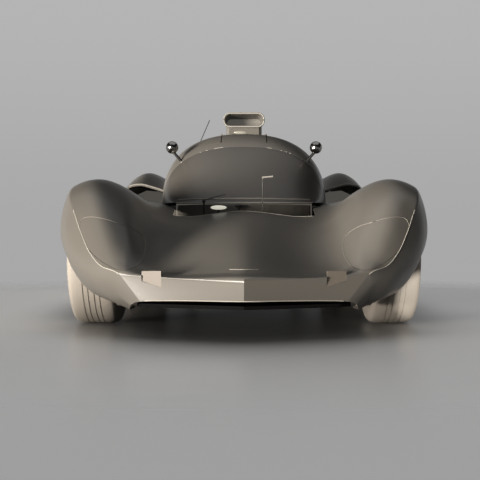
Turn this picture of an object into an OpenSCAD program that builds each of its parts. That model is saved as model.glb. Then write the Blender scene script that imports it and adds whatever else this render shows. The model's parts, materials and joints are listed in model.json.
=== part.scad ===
// Closed two-seat sports prototype of the middle 1960s, full size, in millimetres.
// X is across the car, +X its left side; the nose points to -Y; the tyres stand on z = 0.
// Stations along the car are given from the front axle, rearwards positive.

/* [Layout] */
// Distance between the axles
wheelbase = 2310; // [2290:5:2330]
// From the front axle to the nose tip
front_overhang = 950; // [950:1:950]
// From the nose tip to the tail
overall_length = 4160; // [4160:1:4160]
// Half the front track
front_wheel_x = 675; // [670:1:680]
// Half the rear track
rear_wheel_x = 690; // [685:1:695]
// Least gap beside anything that moves
running_gap = 5; // [5:0.5:6]
// Gap where one fixed piece seats on another
seat_gap = 0.3; // [0.2:0.1:0.6]

/* [Body skin] */
// Thickness of the glass-fibre skin
skin_t = 8; // [6:1:10]
// Thickness of the windscreen and side glass
glass_t = 5; // [4:1:6]
// Radius of the front wheel openings
front_arch_r = 365; // [360:1:368]
// Radius of the rear wheel openings
rear_arch_r = 392; // [386:1:396]

/* [Doors] */
// Station of the door's front edge
door_front = 940; // [935:1:950]
// Station of the door's rear edge
door_rear = 1425; // [1410:1:1430]
// Distance of the door hinge from the centre line
hinge_x = 130; // [120:1:140]
// Height of the door's lower edge
door_foot_z = 400; // [380:5:420]
// Thickness of a door
door_t = 26; // [22:1:30]

/* [Wheels] */
// Radius of the front tyres
front_tyre_r = 315; // [310:1:318]
// Radius of the rear tyres
rear_tyre_r = 340; // [334:1:345]
// Section width of the front tyres
front_tyre_w = 212; // [205:1:218]
// Section width of the rear tyres
rear_tyre_w = 262; // [255:1:268]
// Radius of the rim's bead seat
rim_r = 200; // [195:1:204]
// Greatest steering angle
steer_lock = 14; // [12:1:14]

/* [Roof scoop and fittings] */
// Outer width of the scoop's mouth
scoop_w = 270; // [260:1:280]
// Outer height of the scoop's mouth
scoop_h = 98; // [92:1:104]
// Height of the scoop's top edge above the roof at its mouth
scoop_rise = 257; // [250:1:262]
// Station of the scoop's mouth
scoop_y = 1700; // [1690:5:1710]
// Radius of a mirror pod
mirror_r = 35; // [32:1:38]

/* [Hidden] */
front_axle_y = front_overhang - overall_length / 2;
// Stations are drawn for axles at 0 and 2310 and a tail at 3210, and stretched from there to the sizes above.
nose_y = -950;
rear_axle = 2310;
tail_y = 3210;
function place(y) =
  y <= 0 ? y * front_overhang / -nose_y
  : y <= rear_axle ? y * wheelbase / rear_axle
  : wheelbase + (y - rear_axle) * (overall_length - front_overhang - wheelbase) / (tail_y - rear_axle);
front_hub_z = front_tyre_r;
rear_hub_z = rear_tyre_r;

// A point given from the front axle, in the part's own frame.
function car(p) = [p[0], place(p[1]) + front_axle_y, p[2]];
function mix(a, b, t) = a + (b - a) * t;

// Slope of a smooth curve at value i, from its neighbours on uneven knots.
function slope(k, v, i) =
  i == 0 ? (v[1] - v[0]) / (k[1] - k[0])
  : i == len(k) - 1 ? (v[i] - v[i - 1]) / (k[i] - k[i - 1])
  : let (a = k[i] - k[i - 1], b = k[i + 1] - k[i])
    ((v[i] - v[i - 1]) * b / a + (v[i + 1] - v[i]) * a / b) / (a + b);
function span_of(k, s) = max([0, for (i = [0:len(k) - 2]) if (s >= k[i]) i]);
// The smooth curve through values v at knots k, at s.
function curve(k, v, s) =
  let (i = span_of(k, s), h = k[i + 1] - k[i], t = (s - k[i]) / h, u = 1 - t)
  v[i] * (1 + 2 * t) * u * u + v[i + 1] * t * t * (3 - 2 * t)
  + slope(k, v, i) * h * t * u * u - slope(k, v, i + 1) * h * t * t * u;

// Half sections of the skin ahead of the intakes. Each row runs from the centre line over the fender to the sill:
// knot, y at centre, valley, crease and sill, then x and z of: valley, inner slope, crown, shoulder crease, widest, tuck, sill.
// Columns: s, ya, yb, yc, ye, za, xb, zb, xi, zi, xt, zt, xc, zc, half width of the crease, xw, zw, xm, zm, xe, ze
front_rows = [
  [-1030, -932, -782, -752, -700, 157, 337, 151, 363, 150, 387, 148, 408, 146, 4, 429, 141, 446, 131, 450, 124],
  [-950, -950, -748, -728, -660, 230, 448, 249, 464, 250, 479, 251, 493, 252, 5, 506, 209, 492, 157, 457, 118],
  [-860, -860, -665, -668, -590, 262, 432, 284, 479, 305, 527, 307, 571, 283, 5, 596, 237, 567, 167, 466, 104],
  [-745, -745, -565, -605, -490, 300, 421, 320, 483, 366, 563, 386, 638, 334, 5, 675, 285, 632, 182, 473, 98],
  [-610, -610, -450, -525, -420, 342, 418, 361, 499, 443, 600, 477, 689, 412, 5, 733, 345, 676, 196, 476, 95],
  [-470, -470, -335, -440, -360, 382, 420, 402, 515, 508, 632, 549, 724, 489, 6, 768, 418, 692, 215, 476, 95],
  [-320, -320, -225, -325, -268, 422, 420, 438, 527, 562, 659, 608, 759, 566, 7, 805, 452, 736, 232, 560, 100],
  [-160, -160, -110, -180, -150, 458, 419, 468, 530, 595, 681, 651, 782, 617, 12, 837, 483, 794, 268, 700, 110],
  [10, 10, 10, 10, 10, 487, 416, 492, 527, 612, 692, 673, 802, 640, 20, 857, 504, 832, 288, 780, 115],
  [170, 170, 170, 170, 170, 511, 418, 512, 527, 612, 692, 674, 805, 642, 28, 858, 502, 844, 292, 800, 118],
  [350, 350, 350, 350, 350, 534, 426, 533, 528, 604, 688, 664, 804, 632, 35, 858, 487, 848, 292, 806, 120],
  [600, 600, 600, 600, 600, 566, 443, 566, 530, 598, 680, 640, 804, 606, 40, 856, 460, 849, 290, 808, 120],
  [900, 900, 900, 900, 900, 594, 460, 594, 542, 604, 670, 620, 804, 586, 42, 854, 445, 849, 282, 808, 120],
  [1200, 1200, 1200, 1200, 1200, 606, 478, 606, 545, 610, 665, 617, 806, 582, 42, 855, 436, 849, 280, 808, 120],
  [1500, 1500, 1500, 1500, 1500, 611, 468, 611, 545, 616, 667, 620, 806, 585, 42, 856, 438, 849, 280, 808, 120],
  [1850, 1850, 1850, 1850, 1850, 611, 455, 612, 540, 616, 670, 618, 808, 590, 42, 857, 445, 850, 280, 808, 120]
];
// Half sections of the rear skin, from the intake lip to the tail, with the same columns.
rear_rows = [
  [1430, 1430, 1430, 1430, 1430, 672, 468, 682, 545, 706, 655, 729, 744, 706, 28, 855, 437, 849, 280, 808, 120],
  [1650, 1650, 1650, 1650, 1650, 684, 460, 700, 552, 758, 660, 784, 748, 745, 32, 856, 447, 850, 280, 808, 120],
  [1850, 1850, 1850, 1850, 1850, 692, 448, 706, 552, 794, 662, 822, 752, 776, 34, 858, 456, 850, 280, 806, 120],
  [2100, 2100, 2100, 2100, 2100, 695, 428, 708, 550, 812, 660, 846, 752, 798, 36, 860, 466, 850, 285, 804, 122],
  [2310, 2310, 2310, 2310, 2310, 696, 402, 706, 540, 812, 655, 850, 751, 800, 38, 860, 466, 850, 300, 802, 130],
  [2550, 2550, 2550, 2550, 2550, 699, 360, 703, 520, 800, 646, 842, 746, 794, 38, 857, 462, 848, 312, 800, 160],
  [2800, 2800, 2800, 2800, 2800, 707, 310, 706, 500, 786, 636, 830, 738, 783, 38, 850, 455, 840, 332, 794, 205],
  [3020, 3020, 3020, 3020, 3020, 722, 280, 718, 486, 780, 624, 824, 726, 776, 38, 840, 448, 829, 350, 784, 240],
  [3210, 3210, 3210, 3210, 3210, 744, 262, 738, 474, 782, 612, 822, 714, 773, 36, 828, 442, 816, 362, 772, 262]
];
// The cabin bubble, from the windscreen's foot to the tail of the engine cover.
// Columns: s, top y, top z, foot y, half width at the foot, foot z, squareness
canopy_rows = [
  [420, 420, 577, 600, 360, 586, 2.0],
  [480, 480, 624, 665, 388, 588, 2.1],
  [580, 580, 702, 745, 418, 589, 2.2],
  [710, 710, 803, 820, 440, 590, 2.3],
  [870, 870, 909, 885, 452, 591, 2.4],
  [960, 960, 957, 960, 464, 595, 2.4],
  [1080, 1080, 1000, 1080, 474, 601, 2.4],
  [1200, 1200, 1013, 1200, 478, 606, 2.4],
  [1340, 1340, 1009, 1340, 475, 609, 2.4],
  [1480, 1480, 993, 1480, 468, 638, 2.4],
  [1700, 1700, 956, 1700, 452, 680, 2.35],
  [2000, 2000, 902, 2000, 410, 694, 2.3],
  [2300, 2300, 850, 2300, 345, 696, 2.2],
  [2600, 2600, 804, 2600, 265, 698, 2.1],
  [2850, 2850, 773, 2850, 185, 707, 2.0],
  [3060, 3060, 755, 3060, 105, 724, 2.0]
];

function column(t, c) = [for (r = t) r[c]];
// The nine named points of one row: centre, valley, inner slope, crown, both sides of the crease, widest, tuck, sill.
function row_points(r) =
  let (
    fan = function (x) mix(r[2], r[3], (x - r[6]) / (r[12] - r[6])),
    crown = [r[10], fan(r[10]), r[11]],
    crease = [r[12], r[3], r[13]],
    widest = [r[15], mix(r[3], r[4], 0.3), r[16]],
    e = r[14]
  )
  [
    [0, r[1], r[5]],
    [r[6], r[2], r[7]],
    [r[8], fan(r[8]), r[9]],
    crown,
    crease + (crown - crease) * e / norm(crown - crease),
    crease + (widest - crease) * e / norm(widest - crease),
    widest,
    [r[17], mix(r[3], r[4], 0.65), r[18]],
    [r[19], r[4], r[20]]
  ];
nose_edge_w = 10;
// The nose crease is a pair of rows close together, as the shoulder crease is a pair of columns.
front_points = [for (r = front_rows) row_points(r)];
front_table = concat(
  [front_points[0]],
  [[for (i = [0:8]) let (a = front_points[1][i], b = front_points[0][i]) a + (b - a) * nose_edge_w / norm(b - a)]],
  [for (i = [1:len(front_points) - 1]) front_points[i]]
);
front_knots = concat([front_rows[0][0], front_rows[1][0] - nose_edge_w], [for (i = [1:len(front_rows) - 1]) front_rows[i][0]]);
rear_table = [for (r = rear_rows) row_points(r)];
rear_knots = column(rear_rows, 0);

function section(k, t, s) = [for (c = [0:8]) curve(k, [for (r = t) r[c]], s)];
function front_section(s) = section(front_knots, front_table, s);
function rear_section(s) = section(rear_knots, rear_table, s);
// A point on a section at c, where whole numbers are its named points.
function chords(p, i = 0, sum = 0) = i == len(p) - 1 ? [sum] : concat([sum], chords(p, i + 1, sum + norm(p[i + 1] - p[i])));
function along(p, k, c) = let (i = min(floor(c), len(p) - 2)) curve(k, p, mix(k[i], k[i + 1], c - i));
function half_line(p, cs) = let (k = chords(p)) [for (c = cs) car(along(p, k, c))];
function mirrored(p) = [for (q = p) [-q[0], q[1], q[2]]];
function reversed(p) = [for (i = [len(p) - 1:-1:0]) p[i]];
function full_line(h) = concat(reversed(mirrored([for (i = [1:len(h) - 1]) h[i]])), h);

// The canopy at s; a runs from 0 at the centre line to 90 at the foot.
canopy_knots = column(canopy_rows, 0);
canopy_cols = [for (c = [0:6]) column(canopy_rows, c)];
function canopy_point(s, a, lift = 0) =
  let (
    r = [for (c = [1:6]) curve(canopy_knots, canopy_cols[c], s)],
    x = r[3] * pow(sin(a), 2 / r[5]),
    z = r[4] + lift + (r[1] - r[4] - lift) * pow(cos(a), 2 / r[5])
  )
  car([x, mix(r[0], r[2], pow(x / r[3], 2)), z]);
function canopy_half(s, angles, lift = 0) = [for (a = angles) canopy_point(s, a, lift)];

// Closed shell below a grid of surface points, t thick measured along the surface normals.
function grid_normal(g, i, j) =
  let (
    n = len(g) - 1, m = len(g[0]) - 1,
    u = g[min(i + 1, n)][j] - g[max(i - 1, 0)][j],
    v = g[i][min(j + 1, m)] - g[i][max(j - 1, 0)],
    c = cross(u, v)
  )
  c / norm(c);
module shell(g, t, skip = 0) {
  n = len(g);
  m = len(g[0]);
  normals = [for (i = [0:n - 1]) [for (j = [0:m - 1]) grid_normal(g, i, j)]];
  top = [for (i = [0:n - 1]) for (j = [0:m - 1]) g[i][j] + normals[i][j] * skip];
  low = [for (i = [0:n - 1]) for (j = [0:m - 1]) g[i][j] + normals[i][j] * (skip + t)];
  k = n * m;
  quads = concat(
    [for (i = [0:n - 2]) for (j = [0:m - 2]) let (a = i * m + j) [a, a + m, a + m + 1, a + 1]],
    [for (i = [0:n - 2]) for (j = [0:m - 2]) let (a = k + i * m + j) [a, a + 1, a + m + 1, a + m]],
    [for (j = [0:m - 2]) [j, j + 1, k + j + 1, k + j]],
    [for (j = [0:m - 2]) let (a = (n - 1) * m + j) [a, k + a, k + a + 1, a + 1]],
    [for (i = [0:n - 2]) let (a = i * m) [a, k + a, k + a + m, a + m]],
    [for (i = [0:n - 2]) let (a = i * m + m - 1) [a, a + m, k + a + m, k + a]]
  );
  polyhedron(concat(top, low), [for (q = quads) each [[q[0], q[1], q[2]], [q[0], q[2], q[3]]]]);
}
// Stations from a to b in n equal steps.
function steps(a, b, n) = [for (i = [0:n]) a + (b - a) * i / n];

skin_cols = [0, 0.33, 0.67, 1, 1.33, 1.67, 2, 2.33, 2.67, 3, 3.35, 3.7, 4, 5, 5.3, 5.65, 6, 6.3, 6.65, 7, 7.5, 8];
front_stations = concat([-1030, -995, -960, -950, -930, -895], steps(-860, -160, 11), steps(-95, 350, 6), steps(430, door_front - running_gap, 4));
rear_stations = concat(steps(door_rear + running_gap, 1850, 4), steps(1960, 2800, 8), steps(2910, tail_y, 3));

// Children placed by station from the front axle.
module at(x, y, z) translate(car([x, y, z])) children();
module both() {
  children();
  mirror([1, 0, 0]) children();
}
// A round bar between two points given from the front axle.
module bar(a, b, r) {
  d = car(b) - car(a);
  translate(car(a)) rotate([0, acos(d[2] / norm(d)), atan2(d[1], d[0])]) cylinder(r = r, h = norm(d));
}
// A block between two corners given from the front axle.
module block(a, b) translate(car(a)) cube(car(b) - car(a));
// A plan or side outline pulled up; the outline is given from the front axle.
module plan(points, z0, z1) translate([0, front_axle_y, z0]) linear_extrude(z1 - z0) polygon([for (p = points) [p[0], place(p[1])]]);
module side_plate(points, x0, x1) translate([x0, front_axle_y, 0]) rotate([90, 0, 90]) linear_extrude(x1 - x0) polygon([for (p = points) [place(p[0]), p[1]]]);
module front_plate(points, y0, y1) at(0, y1, 0) rotate([90, 0, 0]) linear_extrude(place(y1) - place(y0)) polygon(points);
// A side outline given from an axle, which keeps its shape when the car is stretched.
module arch(y, points, x0, x1) at(x0, y, 0) rotate([90, 0, 90]) linear_extrude(x1 - x0) polygon(points);
function oval(y, z, ry, rz, n = 48) = [for (i = [0:n - 1]) [y + ry * cos(360 * i / n), z + rz * sin(360 * i / n)]];
function round_box(w, h, r, n = 8) = [
  for (q = [0:3]) for (i = [0:n])
    let (a = 90 * q + 90 * i / n, sx = (q == 0 || q == 3) ? 1 : -1, sz = q < 2 ? 1 : -1)
    [sx * (w / 2 - r) + r * cos(a), sz * (h / 2 - r) + r * sin(a)]
];
function shrunk(p, d) = [
  for (i = [0:len(p) - 1])
    let (u = p[min(i + 1, len(p) - 1)] - p[max(i - 1, 0)])
    p[i] + d * [-u[1], u[0]] / norm(u)
];
// A closed outline moved inwards by d.
function inset(p, d) = [
  for (i = [0:len(p) - 1])
    let (u = p[(i + 1) % len(p)] - p[(i + len(p) - 1) % len(p)])
    p[i] + d * [-u[1], u[0]] / norm(u)
];
// Solid from just above a surface to 60 below it, to seat a piece on that surface.
module below(g) shell(g, 60 + seat_gap, -seat_gap);
function both_sides(p) = concat(p, [for (i = [len(p) - 1:-1:0]) [-p[i][0], p[i][1]]]);

// ---- Body ----
hood_edge = 350;
slot_half = 364;
// Plan of the opening from the slot behind the hood to the cabin's foot.
function foot(s) = [curve(canopy_knots, canopy_cols[4], s), curve(canopy_knots, canopy_cols[3], s)];
foot_line = [for (s = concat(steps(440, 860, 7), steps(880, 1000, 5), steps(1100, 1400, 3))) foot(s) + [seat_gap, 0]];
cockpit_half = concat([[0, hood_edge], [slot_half - 22, hood_edge], [slot_half - 6, hood_edge + 6], [slot_half, hood_edge + 22]], foot_line);
fastback_stations = concat(steps(door_rear + running_gap + 1, 1700, 4), steps(1800, 3060, 10));
fastback_foot = [for (s = concat([door_rear], fastback_stations)) foot(s) + [2 * seat_gap, 0]];
// The lamp cover's outline seen from the front, half distance across and height.
lamp_outline = [[677, 478], [655, 483], [590, 477], [536, 461], [490, 446], [456, 424], [430, 394], [415, 352], [415, 314], [432, 281], [465, 268], [492, 269], [560, 294], [626, 341], [676, 408], [691, 449]];
module lamp_prism(gap) front_plate(inset(lamp_outline, gap), -1000, -335);
pocket_outline = [[400, 266], [321, 268], [319, 203], [399, 226]];
function front_arch(top) = [for (p = oval(0, front_hub_z, front_arch_r, 318)) [p[0], min(p[1], top)]];
front_grid = [for (s = front_stations) full_line(half_line(front_section(s), skin_cols))];
rear_grid = [for (s = rear_stations) full_line(half_line(rear_section(s), skin_cols))];

module front_body() color([0.42, 0.39, 0.35]) difference() {
  shell(front_grid, skin_t);
  both() {
    arch(0, front_arch(700), 742, 1000);
    arch(0, front_arch(420), 440, 743);
    block([600, -365, 0], [1000, 365, front_hub_z]);
    lamp_prism(0);
    front_plate(pocket_outline, -1000, -715);
  }
  plan(both_sides(cockpit_half), 400, 800);
}
module headlamp_covers() color([0.42, 0.39, 0.35]) both() intersection() {
  shell([for (s = steps(-960, -380, 12)) half_line(front_section(s), [0.8, 1, 1.33, 1.67, 2, 2.33, 2.67, 3, 3.35, 3.7, 4])], skin_t);
  lamp_prism(2 * seat_gap);
}
module nose_lamps() color([0.8, 0.78, 0.72]) both() {
  intersection() {
    front_plate(inset(pocket_outline, 2 * seat_gap), -840, -715);
    plan([[300, -807], [420, -752], [420, -732], [300, -787]], 150, 300);
  }
}
module sill_panels() color([0.42, 0.39, 0.35]) difference() {
  both() shell([for (s = steps(door_front - running_gap + seat_gap, door_rear + running_gap - seat_gap, 2)) half_line(front_section(s), [6, 6.3, 6.65, 7, 7.5, 8])], skin_t);
  block([-1000, 800, door_foot_z - running_gap], [1000, 1600, 700]);
}
module rear_body() color([0.42, 0.39, 0.35]) difference() {
  shell(rear_grid, skin_t);
  both() arch(rear_axle, oval(0, rear_hub_z, rear_arch_r, rear_arch_r - 12), 700, 1000);
  plan(both_sides(fastback_foot), 560, 900);
}
fastback_angles = concat(steps(0, 60, 8), steps(66, 90, 5));
module fastback() color([0.42, 0.39, 0.35]) difference() {
  shell([for (s = fastback_stations) full_line(canopy_half(s, fastback_angles))], skin_t);
  plan(round_box_at(0, scoop_y + 220, 170, 240, 60), 800, 1100);
}
module spoiler() color([0.42, 0.39, 0.35]) {
  g = [for (q = [[3130, 1], [3168, 12], [3206, 40]]) [for (p = full_line(half_line(rear_section(q[0]), concat([0, 0.33, 0.67], steps(1, 3.6, 8))))) p + [0, 0, q[1]]]];
  shell(g, 10, -10 - seat_gap);
}

// ---- Cabin ----
screen_angles = steps(0, 90, 14);
pillar_y = 872;
frame_t = 14;
module windscreen() color([0.42, 0.41, 0.36])
  shell([for (s = steps(424, pillar_y - 3 * seat_gap, 12)) full_line(canopy_half(s, screen_angles))], glass_t);
hinge_z = 1004;
hinge_stations = [1150, 1330];
function canopy_inset(s, d) = let (h = canopy_half(s, screen_angles)) shrunk([for (p = full_line(h)) [p[0], p[2]]], -d);
module cabin_frame() color([0.42, 0.39, 0.35]) {
  // Windscreen header and pillars, the spine between the doors and the hoop behind them
  difference() {
    shell([for (s = concat(steps(pillar_y, door_front - running_gap, 2), steps(1000, door_rear + running_gap - seat_gap, 5))) full_line(canopy_half(s, screen_angles))], frame_t);
    both() {
      block([hinge_x - running_gap / 2, door_front - running_gap, 500], [700, 1600, 1100]);
      for (y = hinge_stations) block([hinge_x - 12, y - 18, 980], [hinge_x + 20, y + 18, 1030]);
    }
  }
  both() for (y = hinge_stations) {
    for (s = [-1, 1]) {
      bar([hinge_x, y + s * 21 - 3, hinge_z], [hinge_x, y + s * 21 + 3, hinge_z], 6);
      block([hinge_x - 14, y + s * 21 - 3, hinge_z - 14], [hinge_x, y + s * 21 + 3, hinge_z]);
    }
    bar([hinge_x, y - 20, hinge_z], [hinge_x, y + 20, hinge_z], 3);
  }
  difference() {
    shell([for (s = [door_rear, door_rear + running_gap, 1470]) full_line(canopy_half(s, fastback_angles))], frame_t, skin_t + 3 * seat_gap);
    block([-600, 1300, 0], [600, 1500, 632]);
    both() block([hinge_x - running_gap / 2, 1300, 0], [600, door_rear + running_gap + 2, 1100]);
  }
  // Tray under the slot and the rim below the windscreen's edge
  plan(both_sides(concat([[0, 375], [352, 375]], [for (q = foot_line) if (q[1] < 900) q - [16, 0]], [[0, 640]])), 500, 508);
  both() plan(concat(rim_line(0), reversed(rim_line(12))), 505, 572);
  both() block([420, pillar_y + 18, 500], [446, door_front - running_gap, 640]);
  front_plate(concat(canopy_inset(1440, skin_t + frame_t), [[440, 136 + seat_gap], [-440, 136 + seat_gap]]), 1436, 1448);
}
// Plan of the windscreen's lower edge, d inside it.
function rim_line(d) = concat(
  [for (x = steps(0, 345, 8)) let (r = [for (c = [1, 3, 4]) curve(canopy_knots, canopy_cols[c], 432)]) [x, mix(r[0], r[1], pow(x / r[2], 2)) + d]],
  [for (q = foot_line) if (q[1] > 640 && q[1] < 900) q - [6 + d, 0]]
);

// ---- Doors ----
// A door's section from the hinge over the side window, the shoulder and the flank.
door_angles = [8, 14, 22, 32, 42, 52, 62, 70, 78, 85, 90];
door_cols = [1.4, 1.7, 2, 2.5, 3, 3.35, 3.7, 4, 5, 5.3, 5.65, 6, 6.2, 6.5];
function door_line(s) = concat(canopy_half(s, door_angles), half_line(front_section(s), door_cols));
door_stations = steps(door_front, door_rear, 8);
window_side = [[996, 655], [996, 700], [1056, 852], [1086, 882], [1336, 882], [1370, 852], [1382, 660], [1362, 638], [1014, 638]];
function closed_in(p, d) = [for (q = p) [1188 + (q[0] - 1188) * (1 - d / 180), 760 + (q[1] - 760) * (1 - d / 115)]];
module window_prism(d) side_plate(closed_in(window_side, d), 250, 620);
module door() difference() {
  union() {
    difference() {
      shell([for (s = door_stations) door_line(s)], door_t);
      block([-200, 800, 900], [hinge_x + running_gap / 2, 1600, 1100]);
      block([500, 800, 0], [1000, 1600, door_foot_z]);
      window_prism(0);
      for (y = hinge_stations) for (s = [-1, 1]) block([hinge_x - 10, y + s * 21 - 8, 970], [hinge_x + 12, y + s * 21 + 8, 1030]);
    }
    for (y = hinge_stations) {
      bar([hinge_x, y - 11, hinge_z], [hinge_x, y + 11, hinge_z], 6);
      block([hinge_x + 1, y - 11, hinge_z - 6], [hinge_x + 40, y + 11, hinge_z]);
    }
  }
  for (y = hinge_stations) bar([hinge_x, y - 30, hinge_z], [hinge_x, y + 30, hinge_z], 3.06);
}
module door_glass() intersection() {
  shell([for (s = door_stations) canopy_half(s, [22, 32, 42, 52, 62, 70, 78, 85, 90])], glass_t, 6);
  window_prism(seat_gap);
}
module door_left() color([0.42, 0.39, 0.35]) door();
module door_right() color([0.42, 0.39, 0.35]) mirror([1, 0, 0]) door();
module door_glass_left() color([0.42, 0.41, 0.36]) door_glass();
module door_glass_right() color([0.42, 0.41, 0.36]) mirror([1, 0, 0]) door_glass();

// ---- Fittings on the body ----
// The scoop's sections: station, width, height, height of the centre.
scoop_top_z = curve(canopy_knots, canopy_cols[2], scoop_y) + scoop_rise;
scoop_z = scoop_top_z - scoop_h / 2;
scoop_rows = [
  [0, scoop_w, scoop_h, scoop_z], [16, scoop_w, scoop_h, scoop_z], [24, scoop_w - 12, scoop_h - 12, scoop_z], [140, 250, 84, scoop_z - 6],
  [300, 216, 74, scoop_z - 26], [460, 172, 62, scoop_z - 66], [600, 128, 46, scoop_z - 116], [720, 84, 30, scoop_z - 164]
];
function ring(r, d) = [for (q = round_box(r[1] - 2 * d, r[2] - 2 * d, min(r[1], r[2]) / 2 - d - 2, 5)) [q[0], place(scoop_y + r[0]) + front_axle_y, q[1] + r[3]]];
module loft(rings) {
  m = len(rings[0]);
  n = len(rings);
  polyhedron([for (r = rings) each r], concat(
    [[for (j = [m - 1:-1:0]) j]],
    [for (i = [0:n - 2]) for (j = [0:m - 1]) let (a = i * m + j, b = i * m + (j + 1) % m) each [[a, b, a + m], [b, b + m, a + m]]],
    [[for (j = [0:m - 1]) (n - 1) * m + j]]
  ));
}
module roof_scoop() color([0.42, 0.39, 0.35]) difference() {
  union() {
    loft([for (r = scoop_rows) ring(r, 0)]);
    intersection() {
      plan(both_sides([[0, scoop_y + 22], [96, scoop_y + 22], [112, scoop_y + 34], [116, scoop_y + 60], [112, scoop_y + 240], [84, scoop_y + 460], [40, scoop_y + 700], [0, scoop_y + 720]]), 820, scoop_top_z);
      side_plate(concat([[scoop_y + 22, scoop_z], [scoop_y + 300, scoop_z - 30], [scoop_y + 600, scoop_z - 120], [scoop_y + 730, scoop_z - 170]], [for (s = steps(scoop_y + 740, scoop_y + 10, 6)) [s, curve(canopy_knots, canopy_cols[2], s) - 30]]), -200, 200);
    }
  }
  loft([for (r = [[-10, scoop_w - 20, scoop_h - 20, scoop_z], [16, scoop_w - 28, scoop_h - 28, scoop_z], [140, 226, 60, scoop_z - 6], [300, 190, 50, scoop_z - 26]]) ring(r, 0)]);
  plan(round_box_at(0, scoop_y + 220, 160, 230, 56), 780, scoop_z - 26);
  below([for (s = steps(1600, 2500, 9)) full_line(canopy_half(s, fastback_angles))]);
}
function round_box_at(x, y, w, h, r) = [for (q = round_box(w, h, r)) q + [x, y]];
module mirrors() color([0.2, 0.2, 0.2]) both() difference() {
  union() {
    at(405, 900, 908) sphere(r = mirror_r);
    bar([405, 900, 890], [348, 905, 826], 8);
  }
  below([for (s = [870, 900, 935]) canopy_half(s, steps(0, 90, 14))]);
}
module antenna() color([0.2, 0.2, 0.2]) difference() {
  union() {
    bar([-335, 1600, 880], [-218, 1600, 1150], 2.5);
    bar([-335, 1600, 880], [-325, 1600, 916], 11);
  }
  below([for (s = [1500, 1600, 1700]) full_line(canopy_half(s, steps(0, 90, 14)))]);
}
module wiper() color([0.15, 0.15, 0.15]) {
  at(-190, 400, 508 + seat_gap) cylinder(r = 14, h = 74);
  at(-215, 380, 560) cube([62, 30, 26]);
  bar([-190, 388, 586], [-20, 400, 618], 4);
}
module cowl_mirror() color([0.2, 0.2, 0.2]) {
  bar([95, 405, 508 + seat_gap], [95, 405, 700], 4);
  at(98, 402, 698) cube([58, 6, 20]);
}

// ---- Structure ----
rack_y = -120;
rack_z = 235;
rack_r = 9;
module tub() color([0.3, 0.3, 0.3]) difference() {
  union() {
    plan(both_sides([[0, -890], [300, -758], [380, -722], [422, -688], [430, -640], [430, 372], [470, 400], [790, 400], [795, 420], [795, 1452], [470, 1452], [0, 1452]]), 122, 136);
    both() {
      block([630, 410, 130], [790, 1420, 380]);
      side_plate([[-640, 130], [-640, 260], [-450, 340], [-200, 400], [200, 460], [409, 470], [409, 130]], 396, 410);
      side_plate([[405, 130], [405, 470], [700, 400], [900, 380], [1000, 130]], 616, 632);
      block([396, 405, 130], [632, 419, 470]);
    }
    block([-400, -640, 130], [400, -628, 258]);
  }
  bar([-700, rack_y, rack_z - 8], [700, rack_y, rack_z - 8], rack_r + seat_gap);
}
module rear_frame() color([0.3, 0.3, 0.3]) {
  both() {
    block([360, 1452 + seat_gap, 130], [400, 2900, 170]);
    block([360, 1452 + seat_gap, 480], [400, 2900, 510]);
    block([360, 1452 + seat_gap, 168], [400, 1482, 482]);
    for (y = [2010, 2600, 2870]) block([360, y, 168], [400, y + 30, 482]);
  }
  for (y = [1620, 2040]) block([-362, y, 140], [362, y + 40, 180 - seat_gap]);
  block([-362, 2870, 480], [362, 2900, 510]);
}
engine_rear = 2120;
module engine_block() color([0.35, 0.35, 0.35]) block([-300, 1560, 180], [300, engine_rear, 620]);
module gearbox() color([0.35, 0.35, 0.35]) block([-130, engine_rear + seat_gap, 200], [130, 2780, 470]);
module seats() color([0.15, 0.15, 0.15]) both() {
  side_plate([[800, 136 + seat_gap], [800, 260], [840, 275], [1230, 235], [1330, 700], [1360, 790], [1410, 790], [1400, 700], [1320, 136 + seat_gap]], 50, 370);
}
column_tilt = 70;
column_r = 14;
module on_column() at(-200, 860, 520) rotate([-column_tilt, 0, 0]) children();
module dashboard() color([0.15, 0.15, 0.15]) difference() {
  block([-395, 600, 390], [395, 690, 500 - seat_gap]);
  on_column() translate([0, 0, -400]) cylinder(r = column_r + seat_gap, h = 300);
}
module steering_wheel() color([0.1, 0.1, 0.1]) on_column() {
  rotate_extrude() translate([160, 0]) circle(r = 13);
  cylinder(r = 40, h = 12, center = true);
  translate([0, 0, -230]) cylinder(r = column_r, h = 230);
  for (a = [0, 120, 240]) rotate([0, 0, a + 90]) translate([30, -12, -3]) cube([125, 24, 6]);
}
module tail_panel() color([0.2, 0.2, 0.2]) difference() {
  front_plate(shrunk([for (p = full_line(half_line(rear_section(3176), [for (c = skin_cols) if (c <= 7) c]))) [p[0], p[2]]], -(skin_t + 2.5)), 3172, 3180);
  both() bar([175, 3100, 425], [175, 3250, 425], 42);
}
module tail_lamps() color([0.6, 0.1, 0.1]) both() for (x = [560, 672]) at(x, 3206, 600) rotate([90, 0, 0]) cylinder(r = 44, h = 26 - seat_gap);
module exhausts() color([0.4, 0.4, 0.4]) both() difference() {
  union() {
    bar([175, engine_rear + 30, 425], [175, tail_y - 2, 425], 36);
    bar([175, engine_rear + seat_gap, 425], [175, engine_rear + 60, 425], 44);
  }
  bar([175, tail_y - 302, 425], [175, tail_y + 50, 425], 32);
}
module intake_ducts() color([0.15, 0.15, 0.15]) both() {
  shell([for (s = steps(door_rear + running_gap, 1800, 4)) half_line(front_section(s), [1.3, 1.6, 2, 2.5, 3, 3.4])], 5);
  block([494, 1438, 136 + seat_gap], [740, 1444, 612]);
}

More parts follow.
